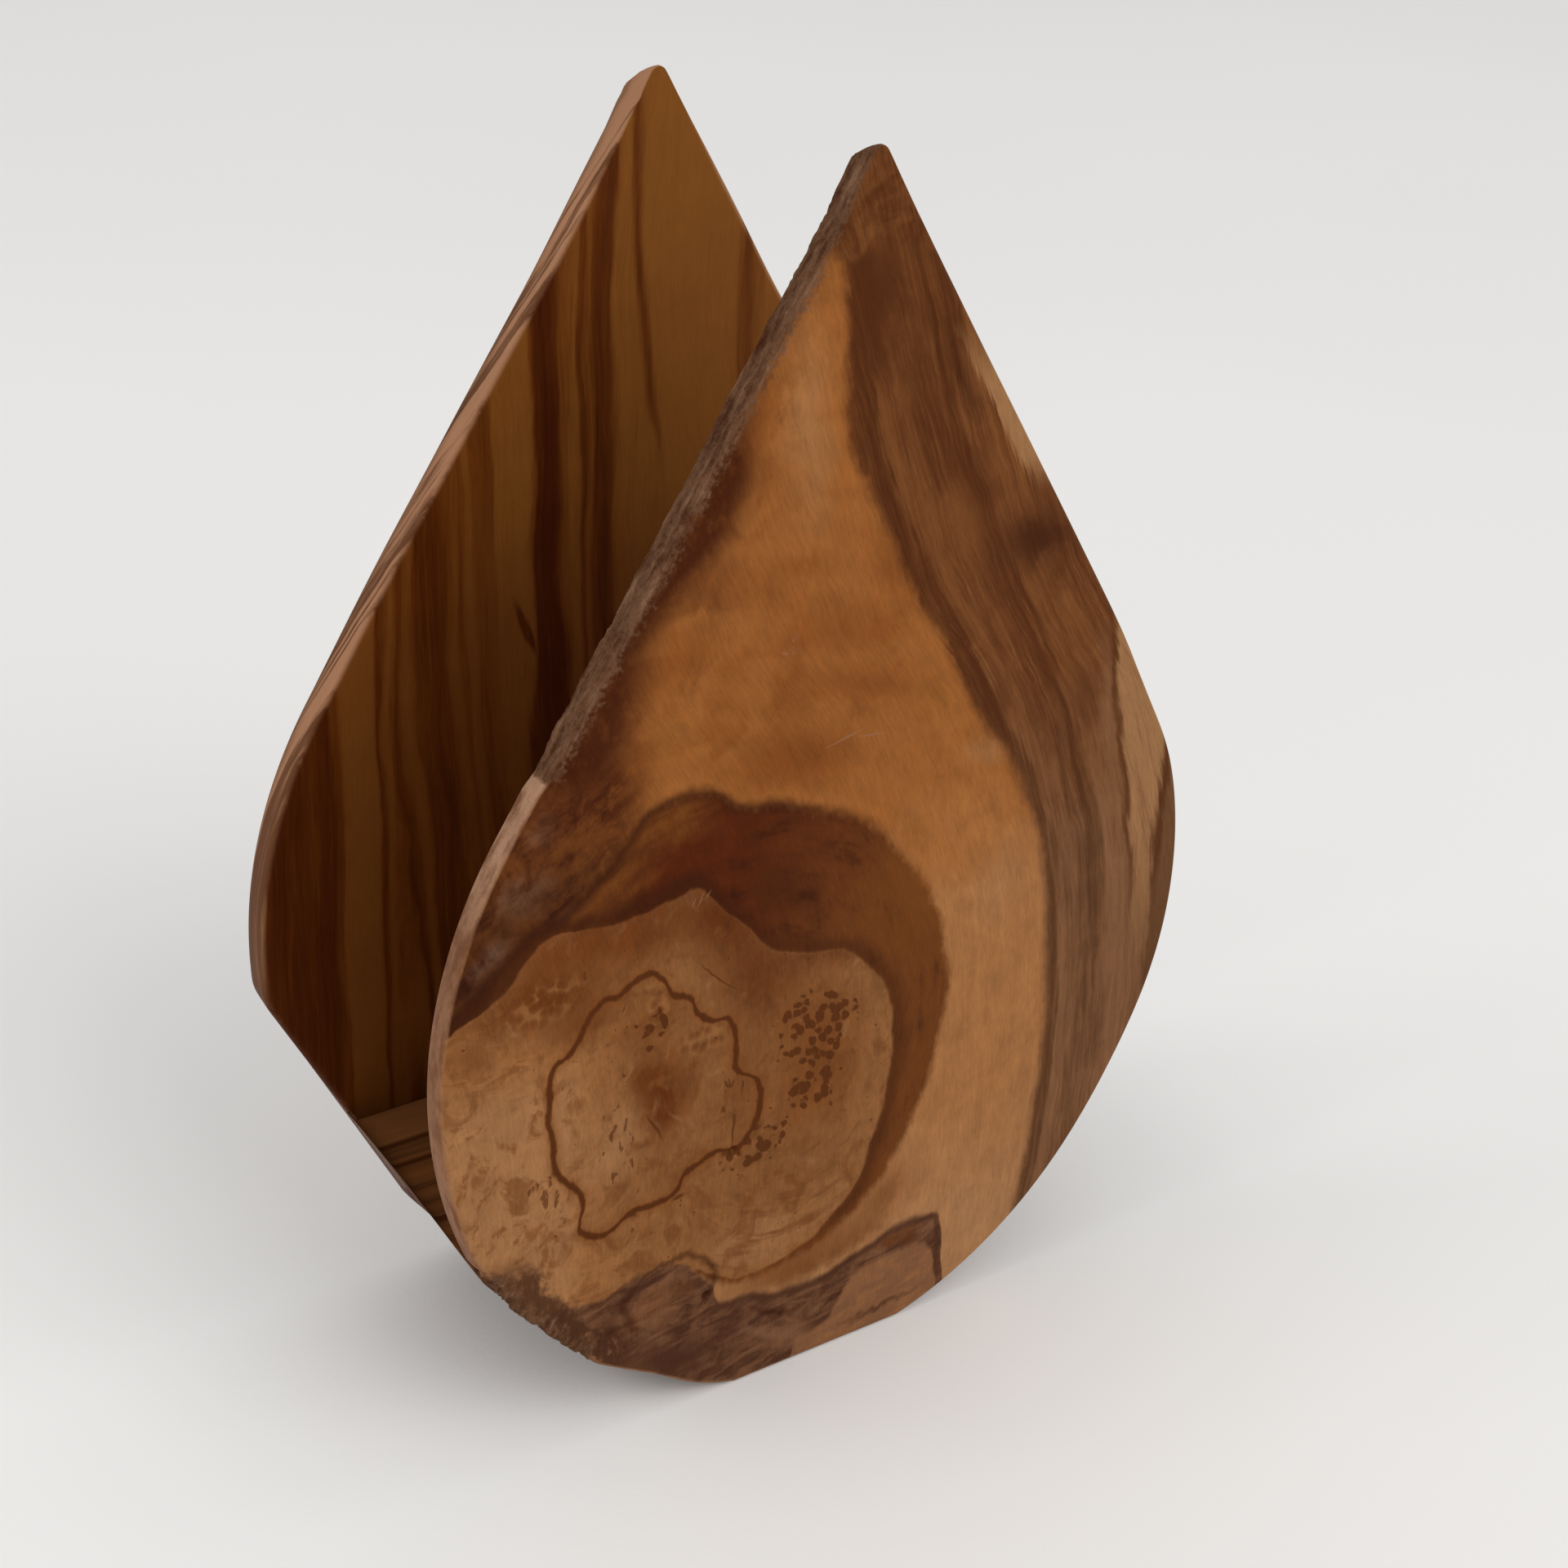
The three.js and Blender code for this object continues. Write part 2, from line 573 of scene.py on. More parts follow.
    def spot(self, place, x, z, across, up, turn=0.0, core=0.2):
        """A soft oval that is 1 inside and 0 outside, turned anticlockwise in degrees."""
        right, rise = math.cos(math.radians(turn)), math.sin(math.radians(turn))
        away = self.vector("SUBTRACT", place, (x, 0.0, z), "Vector")
        long_way = self.vector("DOT_PRODUCT", away, (right / across, 0.0, rise / across))
        short_way = self.vector("DOT_PRODUCT", away, (-rise / up, 0.0, right / up))
        squared = self.math("MULTIPLY_ADD", long_way, long_way, short_way * short_way)
        return self.ramp(self.math("SQRT", squared), 1.0, core)

    def mix(self, base, colour, amount):
        node = self.nodes.new("ShaderNodeMix")
        node.data_type = "RGBA"
        self.plug(node.inputs[0], amount)
        self.plug(node.inputs[6], base)
        self.plug(node.inputs[7], colour)
        return Field(self, node.outputs[2])

    def shade(self, base, amount):
        """A colour made lighter or darker by a factor."""
        node = self.nodes.new("ShaderNodeHueSaturation")
        self.plug(node.inputs["Color"], base)
        self.plug(node.inputs["Value"], amount)
        return Field(self, node.outputs[0])

    def finish(self, colour, roughness, height):
        """Wires up the shader. height is the fine relief in millimetres."""
        bump = self.nodes.new("ShaderNodeBump")
        bump.inputs["Strength"].default_value = 1.0
        bump.inputs["Distance"].default_value = MM
        self.plug(bump.inputs["Height"], height)
        self.links.new(bump.outputs[0], self.shader.inputs["Normal"])
        self.plug(self.shader.inputs["Base Color"], colour)
        self.plug(self.shader.inputs["Roughness"], roughness)
        self.shader.inputs["Specular IOR Level"].default_value = DULL_SHEEN
        return self.material


# ---- colours of the wood, as linear reflectance -----------------------------------------

TAN_LOW = (0.345, 0.165, 0.068)
TAN = (0.322, 0.136, 0.046)
HONEY = (0.284, 0.098, 0.022)
GOLD = (0.262, 0.094, 0.018)
AMBER = (0.178, 0.050, 0.008)
RUSSET = (0.205, 0.062, 0.012)
EMBER = (0.112, 0.026, 0.003)
RUST = (0.190, 0.050, 0.008)
APRICOT = (0.335, 0.128, 0.035)
BURL = (0.288, 0.118, 0.038)
BURL_DEEP = (0.178, 0.062, 0.016)
OLIVE = (0.172, 0.070, 0.020)
HEART_PALE = (0.180, 0.063, 0.017)
HEART_DEEP = (0.072, 0.018, 0.003)
HEART_LOW_PALE = (0.206, 0.092, 0.040)
HEART_LOW_DEEP = (0.088, 0.032, 0.010)
CRESCENT_DEEP = (0.072, 0.012, 0.001)
CRESCENT_PALE = (0.134, 0.040, 0.007)
HAIRY = (0.152, 0.046, 0.007)
STAIN = (0.048, 0.008, 0.001)
MID_BROWN = (0.118, 0.033, 0.006)
BITTER = (0.040, 0.008, 0.001)
RING = (0.080, 0.020, 0.003)
FOOT_PALE = (0.188, 0.082, 0.038)
FOOT_DEEP = (0.062, 0.021, 0.009)
SAPWOOD = (0.315, 0.156, 0.064)
ROSY_STRIPE = (0.150, 0.045, 0.008)
CREAM = (0.460, 0.270, 0.170)
ROSE = (0.270, 0.130, 0.070)
DUSTY = (0.200, 0.110, 0.070)
WALL_BROWN = (0.170, 0.070, 0.033)
WALL_DEEP = (0.130, 0.052, 0.022)
SAWN_PALE = (0.370, 0.185, 0.100)
BARK_DARK = (0.062, 0.022, 0.009)
BARK_BROWN = (0.140, 0.066, 0.034)
BARK_PALE = (0.275, 0.155, 0.092)
OCHRE = (0.212, 0.074, 0.012)
STRIPE_BROWN = (0.120, 0.030, 0.003)
STRIPE_DARK = (0.052, 0.008, 0.001)
GLUE_AMBER = (0.40, 0.25, 0.12)
GLUE_PALE = (0.60, 0.44, 0.26)
FLOOR_DULL = (0.915, 0.915, 0.91)
FLOOR_BRIGHT = (0.935, 0.935, 0.93)

# ---- figure of the front plate ----------------------------------------------------------

BURL_CENTRE = (-15.0, 45.0)
RING_CENTRE = (-25.0, 45.0)

CRESCENT_OUTSIDE = [  # degrees round the burl, and distance from its centre
    (-180, 60), (-140, 40), (-124, 30.5), (-116, 27.5), (-106, 25.8), (-98, 27.2), (-90, 29.6),
    (-80, 31), (-70, 31.8), (-60, 32.6), (-45, 32.8), (-28, 32), (-12, 31.8), (0, 32.2),
    (15, 32.2), (28, 32), (44, 31.9), (62, 32.2), (72, 31.8), (81, 32.4), (90, 33.2),
    (97, 36.4), (105, 37.4), (112, 36.2), (124, 34), (138, 36.5), (151, 38.5), (180, 60),
]
CRESCENT_INSIDE = [
    (-180, 60), (-150, 60), (-128, 36), (-116, 27), (-106, 25.2), (-98, 26.4), (-90, 28.6),
    (-80, 30.2), (-70, 30.7), (-62, 30.6), (-52, 30), (-38, 27.6), (-23, 25.4), (-7, 24.1),
    (8, 22.7), (23, 20.6), (36, 18.6), (50, 15.8), (62, 14.8), (72, 15.2), (83, 17.4),
    (95, 21.4), (102, 24.8), (110, 25.6), (123, 27.8), (130, 30.6), (138, 35), (146, 35.2),
    (150, 36.2), (155, 38.8), (180, 60),
]
CRESCENT_DARKEST = 108.0  # degrees round the burl
DARK_RING = [  # degrees round the ring's centre, and distance from it
    (-180, 14.4), (-172, 14.1), (-158, 14.6), (-141, 14.2), (-128, 16.4), (-119, 18.3),
    (-110, 17.4), (-98, 14.9), (-88, 14.8), (-78, 14.2), (-67, 12.6), (-57, 12.9), (-48, 14.9),
    (-40, 16.6), (-30, 16.2), (-20, 15.6), (-12, 14.5), (-2, 11.4), (5, 11), (18, 11.2),
    (31, 11.6), (42, 10.1), (58, 9.9), (68, 11.4), (80, 12.4), (92, 15.2), (101, 15.9),
    (110, 15.2), (118, 16.2), (130, 15.4), (142, 14.7), (153, 15.8), (165, 14.8), (180, 14.4),
]
HEARTWOOD_LEFT = [  # height, and the x where the dark wood on the right begins
    (0, 29), (12, 31), (20, 32.2), (32, 33.2), (42, 33), (50, 32), (60, 30.8), (68, 27.4),
    (75, 23.6), (80, 19.6), (85, 16.6), (92, 12.8), (98, 8.6), (103, 5.8), (108, 3),
    (113, 0.4), (120, -2.4), (130, -3), (137, -4), (141, -6), (150, -9),
]
STAIN_RIGHT = [  # height, and the x where the dark stain along the left edge ends
    (80, -60), (84, -36), (88, -31), (94, -28.5), (99, -28), (103, -25.5), (106, -22.5),
    (109, -19), (112, -16.5), (117, -14.5), (121, -15.5), (124, -15.5), (128, -14),
    (133, -11.5), (137, -9.5), (141, -8), (150, -3),
]
SAPWOOD_LEFT = [  # height, and the x where the pale wood on the right begins
    (30, 53), (36, 49.5), (44, 47), (54, 46.2), (64, 44.2), (74, 41.8), (84, 39.8), (92, 38.5),
]
BAND_TOP = [  # x, and the top of the dark band over the foot
    (-36, 20), (-31, 19.6), (-27, 20.8), (-22, 20.6), (-19, 18.4), (-16.5, 15.6), (-15, 12.6),
    (-11, 12.2), (-6, 10.8), (0, 10.6), (5, 12), (11, 13.6), (15, 14), (18, 13.2), (18.8, 9),
    (19.6, -4),
]
BAND_BOTTOM = [  # x, and the bottom of it
    (-36, -5), (-6, -5), (-3, 3), (0, 3.2), (3, 6), (5.5, 9), (10, 9.8), (14.5, 10.2),
    (17, 8.6), (18.2, 3), (19.6, -5),
]

# Soft ovals. Each is x, z, across, up and turn, anticlockwise in degrees.

SPECK_SPACING = 1.25
SPECK_CLUSTERS = [  # clouds of small dark specks
    (-2.5, 46.5, 7.6, 7.5, 0),
    (-2.5, 38.5, 5.5, 5, 0),
    (-10.5, 33.4, 7, 3.5, 14),
    (-26, 53.5, 3, 4, -15),
]
DASH_CLUSTERS = [  # clouds of short upright dashes
    (-30.5, 41, 5, 9.5, 12),
    (-14.5, 42, 3, 8, 0),
    (-39.5, 36, 3, 6.5, 30),
]
BEADED = [  # pebbly patches
    (-40.5, 61, 7, 4, 10),
    (-19, 50, 5, 3, 0),
    (-25, 56, 3, 3.5, 0),
]
WORN_PATCHES = [  # scuffed, with pale flecks
    (-7.5, 137, 3.2, 2.2, 0),
    (-9, 96, 2.2, 2.6, 0),
]
PALE_SCRATCHES = [
    (-19.6, 68, 1.3, 0.16, 62),
    (-20.6, 67.8, 0.9, 0.14, 60),
    (-18.6, 68.5, 0.8, 0.13, 58),
    (-0.5, 83.2, 4.2, 0.22, 8),
    (3.5, 82.6, 3.2, 0.18, -6),
]


def tinted(paint, place, colour, spots):
    """Lays soft ovals of colour over a colour. Each is an oval, its tint and its amount."""
    for *oval, tint, amount in spots:
        colour = paint.mix(colour, tint, paint.spot(place, *oval, 0.0) * amount)
    return colour


PALE_TINTS = [
    (-8, 121, 5.5, 17, 4, TAN, 0.95),
    (-14, 122, 3, 13, -28, AMBER, 0.60),
    (-24, 97, 10, 5, 20, AMBER, 0.70),
    (-21, 105, 9, 6, 30, MID_BROWN, 0.75),
    (-5, 14, 18, 5, 4, BURL_DEEP, 0.95),
    (2, 15.5, 12, 5, 10, BURL_DEEP, 0.60),
    (9.5, 19, 8, 7, 30, BURL_DEEP, 0.85),
    (-7, 83.5, 13, 5, -8, AMBER, 0.40),
    (-23, 101.5, 7, 1.8, 12, HONEY, 0.70),
    (-12, 104, 13, 5, -6, RUSSET, 0.60),
    (-3, 97, 14, 6, -12, RUSSET, 0.75),
    (2, 89, 16, 5, -12, RUSSET, 0.90),
    (-9, 89.5, 6, 6, 10, AMBER, 0.55),
    (-17.5, 89, 3.5, 8, 8, HONEY, 0.80),
    (-8, 82, 16, 6, -8, AMBER, 0.85),
    (-25, 88, 5, 7, 12, GOLD, 0.80),
    (20.5, 76.5, 4.5, 3, -20, SAPWOOD, 0.45),
    (18.5, 67, 13, 9, -30, APRICOT, 0.80),
    (24, 58, 5, 9, 0, TAN_LOW, 0.45),
    (-31, 85, 6, 6, 15, AMBER, 0.85),
    (4.5, 103, 4, 9, 28, AMBER, 0.65),
    (11.5, 86, 4, 7, 40, GOLD, 0.50),
]
BURL_TINTS = [
    (-15, 42, 26, 34, 0, BURL_DEEP, 0.45),
    (-31, 66.5, 20, 6.5, -3, RUST, 0.85),
    (-17, 64.5, 7, 8, 20, EMBER, 0.90),
    (-35, 57, 9, 4.5, 10, EMBER, 0.70),
    (0.5, 57, 7, 4, -35, EMBER, 0.85),
    (-12, 55, 7, 13, 38, EMBER, 0.75),
    (-39, 62, 15, 8, 0, EMBER, 0.90),
    (-47, 61.5, 8, 3.5, 10, EMBER, 0.65),
    (-24, 45, 6, 10, 6, AMBER, 0.80),
    (-26.5, 47, 5, 4, -30, EMBER, 0.80),
    (-24, 43.5, 5.5, 6.5, 10, EMBER, 1.00),
    (-27, 54, 7, 6, 0, AMBER, 0.60),
    (-2, 46, 10, 12, 15, AMBER, 0.80),
    (-2, 38, 11, 10, 15, AMBER, 0.70),
    (-4, 28, 15, 7, 6, OLIVE, 0.40),
    (-10, 19.5, 11, 5, -6, TAN_LOW, 0.90),
    (-9, 19, 8, 3, -14, TAN, 0.70),
    (-12.5, 41, 4, 8, 0, BURL_DEEP, 0.80),
    (-31, 40, 6, 9, 0, TAN_LOW, 0.80),
    (-40, 30, 6, 6, 40, BURL_DEEP, 0.85),
    (-30, 24, 9, 4, -20, TAN, 0.60),
    (-21, 33, 5, 3, 20, BURL_DEEP, 0.60),
    (-49.5, 57, 5, 3, -15, BURL_DEEP, 0.95),
    (-44.5, 45.5, 3, 2.5, 0, BURL_DEEP, 0.75),
    (-48, 39, 6, 3.5, -15, BURL_DEEP, 0.80),
    (6.5, 50, 3, 9, 20, OLIVE, 0.60),
]
CRESCENT_TINTS = [
    (12.5, 61, 10, 13, 30, HAIRY, 0.95),
    (-8, 66, 9, 5, -25, BITTER, 0.55),
]

def cluster(paint, place, ovals):
    """1 inside any of a list of soft ovals."""
    inside = paint.spot(place, *ovals[0])
    for oval in ovals[1:]:
        inside = paint.high(inside, paint.spot(place, *oval))
    return inside


class FrontFigure:
    """Fields that the parts of the front plate's figure share."""

    def __init__(self, paint):
        self.paint = paint
        into = paint.y - FRONT_LOW.y

        # No line in the figure is clean, and all of it leans as it goes into the plate.
        wander_x = paint.noise(paint.solid, 6.0, 3.0, 0.55)
        wander_z = paint.noise(paint.point(paint.z, paint.x, paint.y + 40), 6.0, 3.0, 0.55)
        self.x = paint.x + wander_x * 0.9 + into * 0.25
        self.z = paint.z + wander_z * 0.9 - into * 0.2
        self.place = paint.point(self.x, 0.0, self.z)
        self.fray = paint.noise(paint.scaled(z=0.6), 0.9, 3.0, 0.6)
        self.mottle = paint.noise(paint.solid, 5.5, 4.0, 0.6, 0.6)
        self.cloud = paint.noise(paint.point(paint.x, paint.y, paint.z + 90), 13.0, 3.0, 0.55, 0.5)
        self.clouded = paint.point(self.x + self.mottle * 3.0, 0.0, self.z - self.mottle * 3.0)

        self.reach, self.bearing = paint.polar(self.x, self.z, BURL_CENTRE)
        self.outside = self.reach - paint.curve(self.bearing, CRESCENT_OUTSIDE)
        self.inside = self.reach - paint.curve(self.bearing, CRESCENT_INSIDE)
        self.heart = self.x - paint.curve(self.z, HEARTWOOD_LEFT)

        # Fibres run up the plate, and lean with the heartwood towards the tip.
        lean = paint.curve(paint.z, GRAIN_LEAN)
        self.across = paint.x - lean + self.cloud * 1.2 + into * 0.15
        self.fibres = self.drawn_out(0.06, 0.5, 3.0, 0.65)
        self.streaks = self.drawn_out(0.04, 1.6, 4.0, 0.62)
        self.pores = self.drawn_out(0.16, 0.26, 2.0, 0.6)

    def drawn_out(self, along, size, detail, roughness):
        """Noise drawn out along the fibres, by the factor that heights are scaled down by."""
        place = self.paint.point(self.across, self.paint.y, self.paint.z * along)
        return self.paint.noise(place, size, detail, roughness)


# Height, and how far right the fibres have moved there.
GRAIN_LEAN = [(0, 31), (25, 33), (50, 32), (75, 25), (100, 11), (125, 1), (150, -7)]


def pale_wood(fig):
    """Tan low down, honey above the crescent, with amber clouds."""
    paint = fig.paint
    colour = paint.mix(TAN_LOW, TAN, paint.ramp(fig.z + fig.cloud * 8, 8, 34))
    colour = paint.mix(colour, HONEY, paint.ramp(fig.z + fig.cloud * 12, 56, 74))
    colour = tinted(paint, fig.clouded, colour, PALE_TINTS)
    high_up = paint.ramp(fig.z, 70, 84)
    clouds = paint.ramp(fig.cloud + fig.mottle * 0.8, 0.0, 0.55)
    colour = paint.mix(colour, AMBER, clouds * high_up * 0.60)
    rings = paint.math("SINE", fig.outside * 1.5 + fig.mottle * 2.0)
    grain = fig.fibres * 0.12 + fig.streaks * 0.12
    return paint.shade(colour, 1.0 + rings * 0.03 + grain + fig.mottle * 0.28 + fig.fray * 0.10)


def left_brown(fig, colour):
    """Brown wood at the left, between the stain and the crescent."""
    paint = fig.paint
    amount = paint.step(-28.0 - fig.x + fig.mottle * 5, 8.0) * paint.step(88.5 - fig.z, 7.0)
    slant = paint.point(paint.x * 0.45 + paint.z * 0.2, paint.y, paint.z - paint.x * 0.6)
    slanted = paint.noise(slant, 2.4, 4.0, 0.65)
    brown = paint.mix(STAIN, MID_BROWN, paint.ramp(slanted + fig.mottle * 0.9, -0.45, 0.25))
    hairs = paint.ramp(slanted + fig.fray * 0.5, 0.0, 0.5) * paint.ramp(fig.x, -44, -30)
    brown = paint.mix(brown, HAIRY, hairs * 0.8)
    for oval in DUSTY_PATCHES:
        grey = paint.spot(fig.clouded, *oval, 0.0)
        brown = paint.mix(brown, DUSTY, grey * paint.ramp(fig.mottle, -0.4, 0.4) * 0.55)
    brown = paint.mix(brown, BITTER, paint.spot(fig.place, -48.0, 64.5, 5.5, 3.0, 35, 0.1) * 0.9)
    depth = paint.ramp(fig.z, 73, 82, 0.68, 1.0)
    brown = paint.shade(brown, depth + fig.mottle * 0.30 + fig.fray * 0.20)
    return paint.mix(colour, brown, amount * 0.97)


DUSTY_PATCHES = [
    (-46, 69, 3.5, 3.5, -20),
    (-42.5, 74.5, 5, 3.5, 20),
    (-48.5, 67, 2, 2.5, 0),
    (-36.5, 71.5, 5, 1.6, 5),
    (-41, 82, 3, 2.5, 30),
]


def crescent(fig, colour):
    """The dark crescent over the burl, with a darker line along both of its edges."""
    paint = fig.paint
    from_top = paint.size_of(fig.bearing - CRESCENT_DARKEST)
    fading = paint.ramp(from_top + fig.mottle * 16, 8, 78, 0.0, 0.86)
    body = paint.mix(CRESCENT_DEEP, CRESCENT_PALE, fading)
    round_burl = paint.point(fig.reach, fig.bearing * 0.10, paint.y * 0.4)
    along = paint.noise(round_burl, 1.8, 4.0, 0.6, 0.3)
    body = paint.mix(body, BITTER, paint.ramp(0.0 - along - fig.mottle * 0.6, 0.10, 0.6) * 0.5)
    body = paint.shade(body, 1.0 + along * 0.30 + fig.mottle * 0.25 + fig.fibres * 0.12)
    upper_left = paint.ramp(fig.bearing, 92, 104)
    hairy = paint.ramp(fig.outside + fig.mottle * 3.0, -7.0, -2.5) * upper_left
    hairs = paint.ramp(along + fig.fray * 0.5, -0.4, 0.4)
    body = paint.mix(body, HAIRY, hairy * (0.40 + hairs * 0.6))
    body = tinted(paint, fig.clouded, body, CRESCENT_TINTS)
    dusky = paint.spot(fig.clouded, -35.0, 71.0, 8.0, 2.2, 8, 0.0)
    dusky = dusky * paint.ramp(fig.mottle, -0.3, 0.4)
    body = paint.mix(body, MID_BROWN, dusky * 0.7)
    beyond_burl = paint.step(fig.inside + fig.fray * 0.3, 1.0)
    within = paint.step(fig.fray * 0.8 - fig.outside, 1.6)
    colour = paint.mix(colour, body, beyond_burl * within)
    outer = paint.stroke(fig.outside + fig.fray * 0.4, 0.3, 1.3) * paint.ramp(fig.bearing, 35, 80)
    hem = paint.stroke(fig.inside - 1.2, 0.8, 1.6) * paint.ramp(fig.bearing, 80, 105)
    colour = paint.mix(colour, BITTER, hem * 0.5)
    inner = paint.stroke(fig.inside - 0.9, 0.3, 2.4) * paint.step(fig.bearing + 60, 10)
    colour = paint.mix(colour, BITTER, outer * 0.75)
    return paint.mix(colour, BITTER, inner * 0.55)


def burl_wood(fig, colour):
    """The round burl, with its dark ring line, specks and dashes. Also returns the marks."""
    paint = fig.paint
    fine = paint.noise(paint.scaled(z=0.8), 2.3, 4.0, 0.68, 1.0)
    burl = paint.mix(BURL, BURL_DEEP, paint.ramp(fig.mottle + fine * 0.9, 0.05, 0.75) * 0.80)
    burl = tinted(paint, fig.clouded, burl, BURL_TINTS)
    rays = paint.noise(paint.scaled(x=0.35), 1.5, 2.0, 0.5, 0.8)
    near_left = paint.ramp(fig.x, -37, -44) * paint.ramp(fig.z, 24, 30)
    burl = paint.mix(burl, BURL_DEEP, paint.ramp(rays + fine * 0.6, 0.0, 0.4) * near_left * 0.8)
    swirl = paint.noise(paint.point(paint.x, paint.y, paint.z + 30), 4.5, 4.0, 0.6, 1.2)
    burl = paint.mix(burl, BURL_DEEP, paint.ramp(swirl, -0.05, 0.35) * 0.75)
    burl = paint.mix(burl, TAN_LOW, paint.ramp(0.0 - swirl, 0.15, 0.50) * 0.45)
    rim = paint.ramp(fig.inside, -9.0, -1.0) * paint.ramp(fig.bearing, 20, 50)
    burl = paint.mix(burl, EMBER, rim * paint.ramp(fig.x, -46, -38) * 0.58)
    peachy = paint.ramp(fig.x + swirl * 5.0, -33, -38) * paint.ramp(fig.z, 55, 48)
    burl = paint.mix(burl, TAN_LOW, peachy * 0.65)
    burl = paint.mix(burl, BURL_DEEP, paint.ramp(swirl + fine * 0.6, 0.02, 0.35) * peachy * 0.80)
    low_reach, low_bearing = paint.polar(fig.x, fig.z, LOW_RINGS_CENTRE)
    wisps = paint.noise(paint.point(low_reach, low_bearing * 0.06, paint.y * 0.3), 1.5, 3.0, 0.6)
    low_right = paint.spot(fig.place, -8.0, 23.0, 18.0, 12.0, 0.0)
    burl = paint.mix(burl, BURL_DEEP, paint.ramp(wisps, -0.05, 0.30) * low_right * 0.8)
    depth = paint.ramp(fig.x, -40, -27, 0.99, 0.86)
    burl = paint.shade(burl, depth + fine * 0.24 + fig.mottle * 0.20 + fig.fray * 0.16)

    beads = paint.cells(paint.point(fig.x, fig.z, 0.0), SPECK_SPACING)
    beaded = cluster(paint, fig.place, BEADED)
    burl = paint.mix(burl, EMBER, paint.ramp(beads, 0.50, 0.15) * beaded * 0.55)
    burl = paint.mix(burl, BURL, paint.ramp(beads, 0.45, 0.75) * beaded * 0.6)

    ring_reach, ring_bearing = paint.polar(fig.x, fig.z, RING_CENTRE)
    ring = ring_reach - paint.curve(ring_bearing, DARK_RING) + fig.fray * 0.25
    burl = paint.mix(burl, AMBER, paint.stroke(ring, 0.5, 1.3) * 0.45)
    ring_width = 0.28 + paint.high(fine, 0.0) * 0.35
    burl = paint.mix(burl, RING, paint.stroke(ring, ring_width, 0.35) * 0.97)

    # Specks lie in clouds, and are drawn out along one diagonal.
    along = (paint.x - paint.z) * 0.52
    over = (paint.x + paint.z) * 0.71
    blots = paint.noise(paint.point(along, paint.y * 0.5, over), 1.6, 2.0, 0.55, 0.4)
    crooked = paint.point(along + fig.fray * 0.35, over + blots * 0.5, 0.0)
    dots = paint.cells(crooked, SPECK_SPACING)
    cloud_of_specks = paint.ramp(cluster(paint, fig.clouded, SPECK_CLUSTERS), 0.0, 0.6)
    specks = paint.ramp(cloud_of_specks * 0.52 + blots * 0.55 - dots, 0.02, 0.20)
    upright = paint.scaled(x=1.3, y=0.5, z=0.6)
    dash_blots = paint.noise(upright, 1.1, 2.0, 0.5, 0.4)
    cloud_of_dashes = cluster(paint, fig.clouded, DASH_CLUSTERS)
    dashes = paint.ramp(dash_blots + cloud_of_dashes * 0.34, 0.44, 0.58)
    marks = paint.high(specks, dashes * 0.8)
    burl = paint.mix(burl, RING, marks * 0.88)
    for crack in CRACKS:
        burl = paint.mix(burl, RING, paint.spot(fig.place, *crack, 0.3) * 0.8)
    return paint.mix(colour, burl, paint.step(0.0 - fig.inside, 0.5)), marks


LOW_RINGS_CENTRE = (-5.0, 41.0)
CRACKS = [
    (-25.3, 40.4, 3.3, 0.28, -58),
    (-17, 57.5, 5.5, 0.16, -42),
    (-22, 29.9, 1.3, 0.45, 8),
    (-14.2, 36.5, 3.8, 0.30, 88),
    (-28.2, 29.6, 1.1, 0.9, 0),
    (-11.3, 35.3, 1.8, 0.8, 30),
    (-15, 33.5, 1.5, 0.6, -10),
]


KNOT_CENTRE = (-22.5, 20.5)  # its height is stretched by the flatness
KNOT_RADIUS = 6.3
KNOT_FLATNESS = 1.25


def over_the_foot(fig, colour):
    """Dark band, knot and pale patch over the foot."""
    paint = fig.paint
    over = paint.step(paint.curve(fig.x, BAND_TOP) - fig.z + fig.fray * 0.4, 1.1)
    under = paint.step(fig.z - paint.curve(fig.x, BAND_BOTTOM) + fig.fray * 0.3, 1.2)
    sweep = paint.point(paint.x * 0.28, paint.y, paint.z - paint.x * 0.16)
    swept = paint.noise(sweep, 1.7, 4.0, 0.65, 0.9)
    band = paint.mix(FOOT_DEEP, FOOT_PALE, paint.ramp(swept + fig.mottle * 0.7, -0.4, 0.6))
    patch = paint.mix(FOOT_PALE, TAN, paint.ramp(swept + fig.mottle * 0.5, -0.3, 0.5) * 0.6)
    band = paint.mix(patch, band, under)
    band = tinted(paint, fig.clouded, band, FOOT_TINTS)
    colour = paint.mix(colour, band, over)
    knot_reach, _ = paint.polar(fig.x, fig.z * KNOT_FLATNESS, KNOT_CENTRE)
    knot = paint.stroke(knot_reach - KNOT_RADIUS + fig.mottle * 2, 0.25, 0.8)
    knot = knot * paint.step(fig.z - 12.5, 3)
    colour = paint.mix(colour, BITTER, knot * 0.65)
    edge_line = paint.stroke(fig.x - 18.6 + fig.z * 0.06 + fig.fray * 0.2, 0.25, 0.6)
    edge_line = edge_line * paint.ramp(fig.z, 14.5, 12.5) * paint.ramp(fig.z, 3.0, 5.0)
    top_line = paint.stroke(paint.curve(fig.x, BAND_TOP) - fig.z - 0.4, 0.2, 0.9)
    top_line = top_line * paint.ramp(fig.x, -18, -14) * paint.ramp(fig.x, 19.0, 17.5)
    return paint.mix(colour, FOOT_DEEP, paint.high(edge_line, top_line) * 0.75)


